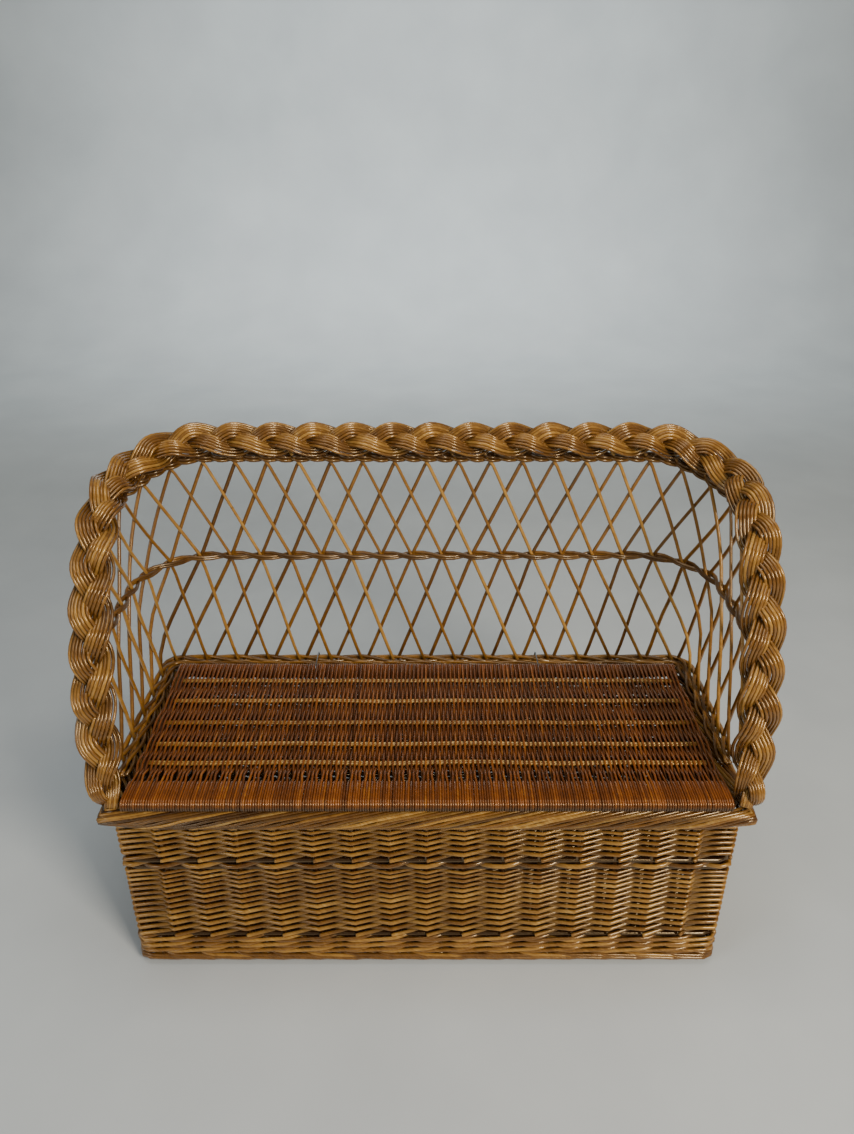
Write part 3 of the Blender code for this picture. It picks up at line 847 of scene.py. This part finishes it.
@dataclass(frozen=True)
class RimShape:
    """The line of the plaited rim, and the plan of the lattice under it."""

    half_x: float = 0.4875
    back_z: float = 0.789
    lean: float = 40.0  # degrees that the plait turns its face forward along the back
    lean_start: float = -0.050
    lean_run: float = 0.150
    foot_tuck: float = 0.010  # how far each foot of the plait is drawn inward
    foot_top: float = 0.470
    lattice_half_x: float = 0.483
    back_y: float = 0.1825
    start_z: float = 0.364
    round_z: float = 0.560
    foot_corner: float = 0.030
    top_corner: float = 0.120
    profile: tuple[tuple[float, float], ...] = (
        (-0.1960, 0.3550),
        (-0.1935, 0.3830),
        (-0.1660, 0.4300),
        (-0.1450, 0.5070),
        (-0.1000, 0.6160),
        (-0.0410, 0.7000),
        (0.0080, 0.7370),
        (0.0625, 0.7570),
    )

    def corner(self, z: float) -> float:
        """Corner radius of the lattice at a height: nearly square below, round above."""
        share = smooth((z - self.start_z) / (self.round_z - self.start_z))
        return self.foot_corner + (self.top_corner - self.foot_corner) * share

    def on_wall(self, arc: float, z: float, out: float) -> Vector:
        """A point of the lattice wall.

        Args:
            arc: length from the middle of the back, positive to the right.
            z: its height.
            out: how far outward from the wall.

        Returns:
            The point.
        """
        radius = self.corner(z)
        sign = -1 if arc < 0 else 1
        flat = self.lattice_half_x - radius
        left = abs(arc) - flat
        turn = radius * math.pi / 2
        if left <= 0:
            return Vector((arc, self.back_y + out, z))
        if left <= turn:
            angle = left / radius
            reach = radius + out
            x = flat + math.sin(angle) * reach
            return Vector((sign * x, self.back_y - radius + math.cos(angle) * reach, z))
        y = self.back_y - radius - (left - turn)
        return Vector((sign * (self.lattice_half_x + out), y, z))

    def rim_z(self, y: float) -> float:
        """Height of the rim above a point of the plan."""
        start = self.profile[-1]
        if y <= start[0]:
            return blend(self.profile, y)
        rise = min((y - start[0]) / self.top_corner, 1.0)
        return start[1] + (self.back_z - start[1]) * rise**2

    def inside(self, point: Vector, clearance: float) -> bool:
        """Whether a point of the wall lies behind and below the rim."""
        rim_y = blend([(v, y) for y, v in self.profile], point.z)
        if point.y <= rim_y or point.z >= self.rim_z(point.y) - clearance:
            return False
        for (y1, z1), (y2, z2) in zip(self.profile, self.profile[1:]):
            run = Vector((y2 - y1, z2 - z1))
            away = Vector((point.y - y1, point.z - z1))
            share = min(max(away.dot(run) / run.length_squared, 0.0), 1.0)
            if (away - run * share).length < clearance:
                return False
        return True

    def line(self) -> Line:
        """Dense centre line of the rim from the left foot over the back to the right foot."""
        half = []
        flat = self.half_x - self.top_corner
        for i in range(24):
            half.append(Vector((flat * i / 24, self.back_y, self.back_z)))
        for i in range(24):
            angle = math.pi / 2 * i / 24
            x = flat + self.top_corner * math.sin(angle)
            y = self.back_y - self.top_corner + self.top_corner * math.cos(angle)
            half.append(Vector((x, y, self.rim_z(y))))
        knots = [Vector((self.half_x, y, z)) for y, z in reversed(self.profile)]
        ends = [half[-1], *knots, knots[-1] * 2 - knots[-2]]
        for a, b, c, d in zip(ends, ends[1:], ends[2:], ends[3:]):
            for i in range(12):
                t = i / 12
                bend = 2 * b + (c - a) * t + (2 * a - 5 * b + 4 * c - d) * t**2
                half.append((bend + (3 * b - a - 3 * c + d) * t**3) / 2)
        half.append(knots[-1])
        for p in half:
            low = 1 - smooth((p.z - self.start_z) / (self.foot_top - self.start_z))
            p.x -= self.foot_tuck * low
        return [Vector((-p.x, p.y, p.z)) for p in reversed(half[1:])] + half

    def behind(self, point: Vector) -> float:
        """Share from 0 on the arms to 1 along the back."""
        return smooth((point.y - self.lean_start) / self.lean_run)

    def turned(self, point: Vector, ahead: Vector) -> tuple[Vector, Vector]:
        """The plait's width and face directions at a point of the rim.

        Args:
            point: the point.
            ahead: direction of the rim there.

        Returns:
            The direction across the plait, outward, and the direction its face looks in.
        """
        out = self.outward(point)
        up = ahead.cross(out).normalized()
        lean = math.radians(self.lean) * self.behind(point)
        cos, sin = math.cos(lean), math.sin(lean)
        return out * cos + up * sin, up * cos - out * sin

    def outward(self, point: Vector) -> Vector:
        """The outward direction of the rim at a point."""
        away_x = max(abs(point.x) - (self.half_x - self.top_corner), 0.0)
        away_y = max(point.y - (self.back_y - self.top_corner), 0.0)
        if away_x == 0.0:
            return Vector((0.0, 1.0, 0.0))
        return Vector((math.copysign(away_x, point.x), away_y, 0.0)).normalized()


@dataclass
class Lattice:
    """The open wall: two layers of slanting rods and the bands twined through them."""

    shape: RimShape
    finish: bpy.types.Material
    draw: random.Random
    middle_z: float = 0.5765
    pitches: tuple[tuple[float, float], ...] = ((0.364, 0.0580), (0.5765, 0.0527), (0.7465, 0.0531))
    shift: float = 1.5  # pitches that a rod leans over between two bands
    pair: float = 0.004
    layer: float = 0.0030
    rod_radii: tuple[float, float] = (0.0033, 0.0029)  # outer and inner layer
    top_drop: float = 0.0365
    top_end_y: float = 0.042
    foot_z: float = 0.356
    ends: tuple[float, float, float] = (0.775, 0.705, 0.571)  # half lengths of the bands
    clearance: float = 0.010  # from a rod's end to the line of the rim
    most: int = 20

    def build(self) -> None:
        """Builds both layers and the three bands."""
        for lean in Lean:
            self.rods(lean)
        self.bands()

    def top_z(self, arc: float) -> float:
        """Height of the top band above a point of the wall."""
        y = self.shape.on_wall(arc, self.shape.back_z, 0.0).y
        return self.shape.rim_z(max(y, self.top_end_y)) - self.top_drop

    def rod_point(self, node: int, lean: int, share: float) -> Vector:
        """A point of a rod: share 0 is the foot, 1 the middle band, 2 the top band."""
        end = self.top_z((node + 2 * self.shift * lean) * self.pitches[-1][1])
        heights = ((0.0, self.foot_z), (1.0, self.middle_z), (2.0, end), (2.3, end + 0.030))
        z = blend(heights, share)
        arc = (node + self.shift * lean * share) * blend(self.pitches, z)
        arc += self.pair * lean * (1 - min(share * 2, 1.0))
        return self.shape.on_wall(arc, z, self.layer * lean)

    def rods(self, lean: Lean) -> None:
        """Builds the rods of one layer."""
        name = lean.name.lower()
        bundle = Bundle(f"lattice_{name}_rods", 2)
        for node in range(-self.most, self.most + 1):
            line: Line = []
            for share in spread(0.0, 2.3, 93):
                point = self.rod_point(node, lean.value, share)
                if self.shape.inside(point, self.clearance):
                    line.append(point)
                elif line:
                    break
            if len(line) < 8:
                continue
            line = line[::6] + ([line[-1]] if (len(line) - 1) % 6 else [])
            bow = [noise.noise(Vector((node * 2.1, lean.value, p.z * 9))) * 0.0012 for p in line]
            line = [p + Vector((b, 0, 0)) for p, b in zip(line, bow)]
            outer = lean is Lean.OUTER
            girth = self.rod_radii[0 if outer else 1] * self.draw.uniform(0.93, 1.07)
            radii = [girth * blend(((0.35, 1.04), (0.8, 0.94)), p.z) for p in line]
            tone = 0.1 + self.draw.random() * 0.5
            bundle.add(line, radii, tone if outer else tone + 0.35)
        nodes = [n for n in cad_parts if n.startswith(f"lattice_{name}_")]
        Piece(Body.TRUNK, Slot.WILLOW, tuple(nodes)).place(bundle.build(), self.finish)

    def bands(self) -> None:
        """Builds the foot, middle and top bands."""
        shape = self.shape

        def foot(beat: float, out: float, z: float) -> Vector:
            return shape.on_wall((beat - 0.25) * self.pitches[0][1], z, out)

        def middle(beat: float, out: float, z: float) -> Vector:
            return shape.on_wall((beat + 0.5) * self.pitches[1][1], z, out)

        def top(beat: float, out: float, z: float) -> Vector:
            arc = beat * self.pitches[2][1] * 0.5
            return shape.on_wall(arc, self.top_z(arc) + z, out)

        depth, radius = 0.0072, 0.0029
        outer_foot = Twine(
            low=0.3545, high=0.3625, count=3, depth=0.0066, radius=0.0037, centre=-0.001
        )
        inner_foot = Twine(
            low=0.3535, high=0.3580, count=3, depth=0.0056, radius=0.0033, centre=-0.014
        )
        double = Twine(
            low=self.middle_z - 0.0058,
            high=self.middle_z + 0.0010,
            count=2,
            depth=depth,
            radius=radius,
            plies=2,
        )
        lower = Twine(low=0.0010, high=0.0052, count=3, depth=depth, radius=radius)
        upper = Twine(low=0.0066, high=0.0114, count=3, depth=depth, radius=radius)
        beats = (self.pitches[0][1], self.pitches[1][1], self.pitches[2][1] * 0.5)
        courses = (
            ("foot", foot, (outer_foot, inner_foot)),
            ("middle", middle, (double,)),
            ("top", top, (lower, upper)),
        )
        for (name, place, twines), end, beat in zip(courses, self.ends, beats):
            reach = end / beat
            bundle = Bundle(f"lattice_{name}_band", 1)
            for twine in twines:
                twine.lay(bundle, place, -reach, reach, self.draw)
            Piece(Body.TRUNK, Slot.WILLOW).place(bundle.build(), self.finish)


@dataclass
class Plait:
    """The rim: three flat strands, each of several rods side by side, plaited over each other."""

    shape: RimShape
    finish: bpy.types.Material
    draw: random.Random
    strands: int = 3
    rods: int = 6
    period: float = 0.195
    swing: float = 0.0168
    lift: float = 0.0108
    half_width: float = 0.0160
    rod_radius: float = 0.0026
    crown: float = 0.0034
    taper_over: float = 0.090
    taper_to: float = 0.62
    sections_each: int = 24  # sections in one period
    look: float = 0.012  # how far each way the rim's direction is read
    narrowing: float = 0.10  # how much narrower the plait is along the back
    raised: float = 0.003  # how much further up it lies there

    def build(self) -> None:
        """Builds the three strands."""
        line = self.shape.line()
        lengths = [0.0]
        for a, b in zip(line, line[1:]):
            lengths.append(lengths[-1] + (b - a).length)
        points = np.array(line)
        total = lengths[-1]
        steps = round(total / self.period * self.sections_each)
        for strand in range(self.strands):
            bundle = Bundle(f"plait_strand_{strand + 1}_rods", 2)
            phase = 2 * math.pi * strand / self.strands
            sections = []
            for i in range(steps + 1):
                at = total * i / steps
                point = Vector([float(np.interp(at, lengths, points[:, k])) for k in range(3)])
                ahead = Vector([
                    float(np.interp(at + self.look, lengths, points[:, k]))
                    - float(np.interp(at - self.look, lengths, points[:, k]))
                    for k in range(3)
                ]).normalized()
                out, up = self.shape.turned(point, ahead)
                ends = min(at, total - at)
                taper = self.taper_to + (1 - self.taper_to) * smooth(ends / self.taper_over)
                taper *= 1 - self.narrowing * self.shape.behind(point)
                point = point + up * (self.raised * self.shape.behind(point))
                turn = 2 * math.pi * at / self.period + phase
                centre = point + out * (self.swing * taper * math.sin(turn))
                centre += up * (self.lift * math.sin(2 * turn))
                sections.append((centre, up, taper, math.sin(2 * turn)))
            for rod in range(self.rods):
                across = (rod - (self.rods - 1) / 2) / ((self.rods - 1) / 2)
                girth = self.rod_radius * self.draw.uniform(0.92, 1.08)
                shaky = self.draw.uniform(0, 50)
                track, radii, depth = [], [], []
                for i, (centre, up, taper, height) in enumerate(sections):
                    ahead = sections[min(i + 1, steps)][0] - sections[max(i - 1, 0)][0]
                    side = ahead.cross(up).normalized()
                    top = side.cross(ahead).normalized()
                    wave = noise.noise(Vector((i * 0.21, shaky, 0.0)))
                    wide = across * (self.half_width - girth) * taper + wave * 0.0006
                    crown = (self.crown * (0.5 - across * across) + wave * 0.0006) * taper
                    track.append(centre + side * wide + top * crown)
                    radii.append(girth * (0.62 + 0.38 * taper))
                    # painted shade, darker where the rod dips under the other strands
                    depth.append(0.06 + 0.2 * (1 - height))
                bundle.add(track, radii, 0.2 + 0.5 * self.draw.random(), depth)
            node = f"plait_strand_{strand + 1}"
            Piece(Body.TRUNK, Slot.WILLOW, (node,)).place(bundle.build(), self.finish)


# seat


@dataclass
class Seat:
    """The lid: thin rods woven over and under cross bars and wrapped round both rails."""

    finish: bpy.types.Material
    bar_finish: bpy.types.Material
    draw: random.Random
    count: int = 246
    rod_radius: float = 0.00192
    bar_radius: float = 0.0024
    front_row: float = -0.163  # behind it the tight front edge ends and every second rod dives
    slot_y: float = -0.149  # where the rods bunch and leave a row of dark slots
    bunch: int = 6
    squeeze: float = 0.24
    bar_z: float = 0.3655
    loop_gap: float = 0.0012  # how far the rods keep from the hinges' wire loops

    def __post_init__(self) -> None:
        """Counts the cross bars."""
        self.bars = sum(name.startswith("lid_cross_bar_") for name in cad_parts)

    def build(self) -> None:
        """Builds the rods and the bars."""
        self.weave()
        self.cross_bars()

    def weave(self) -> None:
        """The rods from front to back."""
        low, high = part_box("seat_weave")
        rails = [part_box("lid_front_rail"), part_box("lid_back_rail")]
        centres = [((a.y + b.y) / 2, (a.z + b.z) / 2) for a, b in rails]
        radius = (rails[0][1].y - rails[0][0].y) / 2 + self.rod_radius
        pitch = (high.x - low.x) / self.count
        ys = [self.front_row] + [self.bar_y(i) for i in range(self.bars)]
        notches = [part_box(f"hinge_loop_{side}") for side in ("left", "right")]
        bundle = Bundle("seat_rods", 1)
        for i in range(self.count):
            x = low.x + pitch * (i + 0.5)
            gap = self.loop_gap
            near_loop = any(a.x - gap < x < b.x + gap for a, b in notches)
            line = self.wrap(x, centres[0], radius, start=318, end=90, count=7)
            top = high.z - self.rod_radius
            line.append(Vector((x, self.front_row - 0.004, top)))
            for bar, y in enumerate(ys):
                over = 1 if (i + bar) % 2 else -1
                z = min(self.bar_z + over * (self.bar_radius + self.rod_radius), top)
                for step in (-0.006, 0.0, 0.006) if bar else (0.009, 0.015):
                    line.append(Vector((x, y + step, z)))
            end = 70 if near_loop else -138
            line += self.wrap(x, centres[1], radius, start=90, end=end, count=8)
            sway = self.draw.uniform(-0.0003, 0.0003)
            shaky = self.draw.uniform(0, 50)
            lump = (i % self.bunch - (self.bunch - 1) / 2) * pitch * self.squeeze
            line = [
                p - Vector((lump * math.exp(-(((p.y - self.slot_y) / 0.010) ** 2)), 0, 0))
                for p in line
            ]
            line = [
                p + Vector((sway + noise.noise(Vector((p.y * 14, shaky, 0))) * 0.0005, 0, 0))
                for p in line
            ]
            girth = self.rod_radius * self.draw.uniform(0.92, 1.06)
            # painted shade, darker the further a point lies below the top of the seat
            depth = [max(0.0, min(1.0, (high.z - 0.002 - p.z) / 0.012)) for p in line]
            bundle.add(line, girth, 0.2 + 0.55 * self.draw.random(), depth)
        Piece(Body.LID, Slot.SEAT, ("seat_weave",)).place(bundle.build(), self.finish)

    def bar_y(self, index: int) -> float:
        """Where a cross bar lies, front to back."""
        low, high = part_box(f"lid_cross_bar_{index + 1}")
        return (low.y + high.y) / 2

    def wrap(
        self, x: float, centre: tuple[float, float], radius: float, start: float, end: float,
        count: int,
    ) -> Line:
        """Points of a rod round a rail, in degrees from the back towards the top."""
        made = []
        for angle in spread(math.radians(start), math.radians(end), count):
            y = centre[0] + radius * math.cos(angle)
            made.append(Vector((x, y, centre[1] + radius * math.sin(angle))))
        return made

    def cross_bars(self) -> None:
        """The bars: two thin rods side by side, which wander a little."""
        for index in range(self.bars):
            low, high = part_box(f"lid_cross_bar_{index + 1}")
            bundle = Bundle(f"seat_bar_{index + 1}", 1)
            for side in (-1, 1):
                line = []
                for x in spread(low.x, high.x, 60):
                    wave = noise.noise(Vector((x * 7, index * 5.0, 0.0))) * 0.0035
                    y = (low.y + high.y) / 2 + side * 0.0022 + wave
                    line.append(Vector((x, y, self.bar_z)))
                bundle.add(line, self.bar_radius, 0.55 + 0.3 * self.draw.random())
            node = f"lid_cross_bar_{index + 1}"
            Piece(Body.LID, Slot.SEAT, (node,)).place(bundle.build(), self.bar_finish)


@dataclass
class Hinges:
    """Two closed wire loops round the lid's back rail and the foot of the lattice."""

    finish: bpy.types.Material
    wire: float = 0.0012
    bend: float = 0.0107  # radius of the loop's two round ends

    def build(self) -> None:
        """Builds both loops."""
        for side in ("left", "right"):
            node = f"hinge_loop_{side}"
            low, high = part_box(node)
            x = (low.x + high.x) / 2
            line = []
            front = (low.y + self.bend + self.wire, high.z - self.bend - self.wire)
            back = (high.y - self.bend - self.wire, low.z + self.bend + self.wire)
            for (y, z), start in ((front, 90), (back, -90)):
                for angle in spread(math.radians(start), math.radians(start + 180), 13):
                    across, up = self.bend * math.cos(angle), self.bend * math.sin(angle)
                    line.append(Vector((x, y + across, z + up)))
            bundle = Bundle(f"wire_loop_{side}", 2)
            bundle.add(line, self.wire, 0.5, closed=True)
            Piece(Body.TRUNK, Slot.STEEL, (node,)).place(bundle.build(), self.finish)


@dataclass
class InnerFrame:
    """The wooden posts, rails and board inside the chest, and the rails of the seat."""

    wood: bpy.types.Material
    seat: bpy.types.Material

    def build(self) -> None:
        """Gives the carried-over nodes their materials."""
        for name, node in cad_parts.items():
            if node.hide_render:
                continue
            finish = self.seat if name.startswith("lid_") else self.wood
            node.data.materials.clear()
            node.data.materials.append(finish)
            LOG.info("%s: dressed", name)


# studio


@dataclass(frozen=True)
class Lamp:
    """A soft rectangular light."""

    name: str
    at: tuple[float, float, float]
    aim: tuple[float, float, float]
    size: tuple[float, float]
    power: float
    colour: str
    spread: float = 180.0

    def place(self) -> None:
        """Hangs the light and turns it to its aim."""
        light = bpy.data.lights.new(self.name, "AREA")
        light.shape = "RECTANGLE"
        light.size, light.size_y = self.size
        light.energy = self.power
        light.color = linear(self.colour)[:3]
        light.spread = math.radians(self.spread)
        made = bpy.data.objects.new(self.name, light)
        made.location = self.at
        toward = Vector(self.aim) - Vector(self.at)
        made.rotation_euler = toward.to_track_quat("-Z", "Y").to_euler()
        bpy.context.scene.collection.objects.link(made)


@dataclass
class Studio:
    """Pale floor and backdrop, soft lights and the camera."""

    half_width: float = 8.0
    front: float = -6.0
    back: float = 4.6
    bend: float = 1.2  # radius of the sweep from floor to backdrop
    height: float = 4.0
    lens: float = 27.62
    stand: tuple[float, float, float] = (0.0, -1.176, 1.275)
    tilt: float = 62.0  # degrees from straight down

    def build(self) -> None:
        """Builds the whole studio."""
        self.floor()
        self.lights()
        self.camera()

    def floor(self) -> None:
        """A floor that curves up into a backdrop."""
        shape = bmesh.new()
        flat_end = self.back - self.bend
        rows = [(self.front, 0.0), (flat_end, 0.0)]
        for angle in spread(0.0, math.pi / 2, 9)[1:]:
            y = flat_end + self.bend * math.sin(angle)
            rows.append((y, self.bend * (1 - math.cos(angle))))
        rows.append((self.back, self.height))
        first = [shape.verts.new((x, *rows[0])) for x in (-self.half_width, self.half_width)]
        edge = shape.edges.new(first)
        for (y1, z1), (y2, z2) in zip(rows, rows[1:]):
            made = bmesh.ops.extrude_edge_only(shape, edges=[edge])["geom"]
            verts = [g for g in made if isinstance(g, bmesh.types.BMVert)]
            bmesh.ops.translate(shape, verts=verts, vec=(0.0, y2 - y1, z2 - z1))
            edge = next(
                g for g in made
                if isinstance(g, bmesh.types.BMEdge) and all(v in verts for v in g.verts)
            )
        bmesh.ops.recalc_face_normals(shape, faces=shape.faces)
        mesh = bpy.data.meshes.new("floor")
        shape.to_mesh(mesh)
        shape.free()
        for face in mesh.polygons:
            face.use_smooth = True
        made, tree, shader = new_material("matt paper")
        place = add_node(tree, "TexCoord").outputs["Object"]
        fibre = add_node(tree, "TexNoise", {"Scale": 3.0, "Detail": 4.0}, {"Vector": place})
        ramp = add_node(tree, "ValToRGB", links={"Fac": fibre.outputs["Fac"]})
        set_ramp(ramp, ((0.3, "C3C7C7"), (0.7, "CDD1D0")))
        tree.links.new(ramp.outputs["Color"], shader.inputs["Base Color"])
        shader.inputs["Roughness"].default_value = 0.75
        mesh.materials.append(made)
        floor = bpy.data.objects.new("floor", mesh)
        bpy.context.scene.collection.objects.link(floor)
        floor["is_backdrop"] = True

    def lights(self) -> None:
        """A broad window-like key from the right front, a weak fill and a pale sky."""
        lamps = (
            Lamp("key", (1.7, -2.4, 2.3), (0.0, -0.1, 0.35), (0.9, 1.3), 105.0, "FFF4E4"),
            Lamp("fill", (-2.4, -1.8, 1.7), (0.0, 0.0, 0.4), (1.2, 1.2), 15.0, "EAF2FF"),
            Lamp("top", (0.0, -0.2, 3.0), (0.0, 0.0, 0.3), (2.0, 1.4), 24.0, "FFFFFF"),
            Lamp("backdrop", (0.0, 2.3, 3.6), (0.0, 4.4, 0.6), (4.0, 1.2), 45.0, "F2FAFF", 80.0),
        )
        for lamp in lamps:
            lamp.place()
        world = bpy.data.worlds.new("studio")
        bpy.context.scene.world = world
        world.use_nodes = True
        sky = world.node_tree.nodes["Background"]
        sky.inputs["Color"].default_value = linear("E6EEEE")
        sky.inputs["Strength"].default_value = 0.24

    def camera(self) -> None:
        """The camera: standing height, looking down on the seat."""
        camera = bpy.data.cameras.new("camera")
        camera.sensor_fit = "VERTICAL"
        camera.sensor_height = 36.0
        camera.lens = self.lens
        made = bpy.data.objects.new("camera", camera)
        made.location = self.stand
        made.rotation_euler = (math.radians(self.tilt), 0.0, 0.0)
        bpy.context.scene.collection.objects.link(made)
        bpy.context.scene.camera = made


def main() -> None:
    """Builds every sub-assembly in order."""
    logging.basicConfig(level=logging.INFO, format="%(name)s %(message)s")
    Studio().build()
    draw = random.Random(SEED)
    honey = WillowFinish(
        name="lacquered buff willow",
        tones=((0.0, "4A2A10"), (0.35, "7A501D"), (0.7, "AA7C38"), (1.0, "E2BC72")),
        scar="3A1E0A",
        shadow="1E0E05",
        shadow_share=0.85,
        roughness=0.20,
        coat=0.35,
    ).material()
    russet = WillowFinish(
        name="lacquered red-brown willow",
        tones=((0.0, "461E06"), (0.35, "68330C"), (0.7, "884814"), (1.0, "B0722C")),
        scar="2C1408",
        shadow="180A04",
        shadow_share=0.8,
        roughness=0.28,
        coat=0.3,
    ).material()
    tan = WillowFinish(
        name="lacquered brown willow",
        tones=((0.0, "50300C"), (0.35, "744A16"), (0.7, "986824"), (1.0, "BC8C42")),
        scar="2E170A",
        shadow="24110A",
        shadow_share=0.6,
        roughness=0.32,
        coat=0.5,
    ).material()
    wood = StainedPine().material()
    rim = RimShape()
    Chest(honey, draw).build()
    Seat(russet, honey, draw).build()
    Hinges(GalvanisedWire().material()).build()
    Lattice(rim, tan, draw).build()
    Plait(rim, honey, draw).build()
    InnerFrame(wood, russet).build()
    [[list(map(float, p)) for p in box] for box in (CAD_BOX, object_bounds())]


if __name__ == "__main__":
    main()
